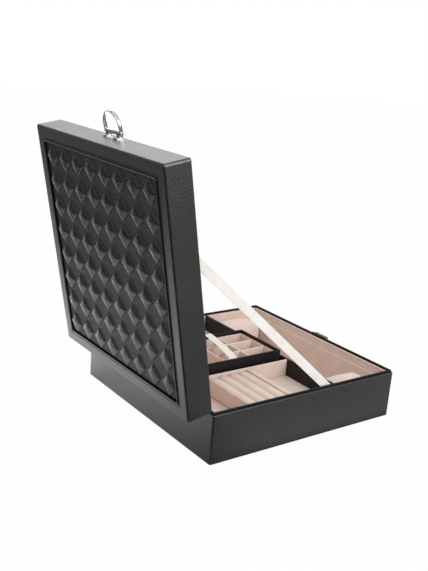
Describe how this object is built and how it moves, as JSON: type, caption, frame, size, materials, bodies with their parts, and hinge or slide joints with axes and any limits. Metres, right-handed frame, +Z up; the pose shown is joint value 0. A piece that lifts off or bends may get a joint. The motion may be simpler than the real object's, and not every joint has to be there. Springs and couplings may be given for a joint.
{
  "type": "ring display box",
  "caption": "Square leather-covered jewellery box with a quilted hinged lid on ribbon stays, loop clasp, ring rolls, lift-out tray and pillows.",
  "frame": {"origin": "centre of the underside, on the surface the box stands on", "axes": "+X to the right seen from the front, -Y towards the front and its clasp, +Z up"},
  "size_m": [0.26, 0.3434, 0.3419],
  "materials": {
    "leather": "satin",
    "board": "matte",
    "cover": "satin",
    "quilt": "gloss",
    "velvet": "matte",
    "satin": "satin",
    "metal": "polished",
    "felt": "matte",
    "mirror": "polished"
  },
  "bodies": {
    "base": {"base_felt": "felt", "base_floor": "board", "base_front": "leather", "base_rear": "leather", "base_left": "leather", "base_right": "leather", "lining_front": "velvet", "lining_rear": "velvet", "lining_left": "velvet", "lining_right": "velvet", "front_pad": "velvet", "partition": "cover", "partition_lining": "velvet", "deck_risers": "board", "deck": "velvet", "bay_wall_left": "velvet", "bay_wall_right": "velvet", "ring_bed": "velvet", "ring_rolls": "velvet", "hinge_leaf_base": "metal", "hinge_pins": "metal", "catch_plate": "metal", "catch_hook": "metal", "stay_ribbon_left": "satin", "stay_ribbon_right": "satin"},
    "lid": {"lid_board": "board", "lid_front": "leather", "lid_rear": "leather", "lid_left": "leather", "lid_right": "leather", "lid_border": "leather", "lid_quilt": "quilt", "lid_piping": "leather", "lid_ceiling": "velvet", "lid_lining_front": "velvet", "lid_lining_rear": "velvet", "lid_lining_left": "velvet", "lid_lining_right": "velvet", "mirror": "mirror", "mirror_surround": "velvet", "hinge_leaf_lid": "metal", "clasp_bracket": "metal", "clasp_pin": "metal"},
    "clasp_loop": {"clasp_loop": "metal"},
    "tray": {"tray_base": "cover", "tray_front": "cover", "tray_rear": "cover", "tray_left": "cover", "tray_right": "cover", "tray_liner": "velvet", "tray_pad": "velvet", "tray_long_dividers": "velvet", "tray_cross_dividers": "velvet", "tray_ribbon": "satin"},
    "pillow_left": {"pillow_left": "velvet"},
    "pillow_right": {"pillow_right": "velvet"}
  },
  "joints": [
    {"name": "lid_hinge", "type": "hinge", "parent": "base", "child": "lid", "pos_m": [0, 0.1314, 0.05875], "axis": [-1, 0, 0], "range_deg": [-100.2, 0], "deforming": ["stay_ribbon_left", "stay_ribbon_right"]},
    {"name": "clasp_swing", "type": "hinge", "parent": "lid", "child": "clasp_loop", "pos_m": [0, 0.18276, 0.32019], "axis": [-1, 0, 0], "range_deg": [-96, 70]},
    {"name": "tray_lift", "type": "slide", "parent": "base", "child": "tray", "axis": [0, 0, 1], "range_m": [0, 0.06]},
    {"name": "pillow_left_lift", "type": "slide", "parent": "base", "child": "pillow_left", "axis": [0, 0, 1], "range_m": [0, 0.06]},
    {"name": "pillow_right_lift", "type": "slide", "parent": "base", "child": "pillow_right", "axis": [0, 0, 1], "range_m": [0, 0.06]}
  ]
}
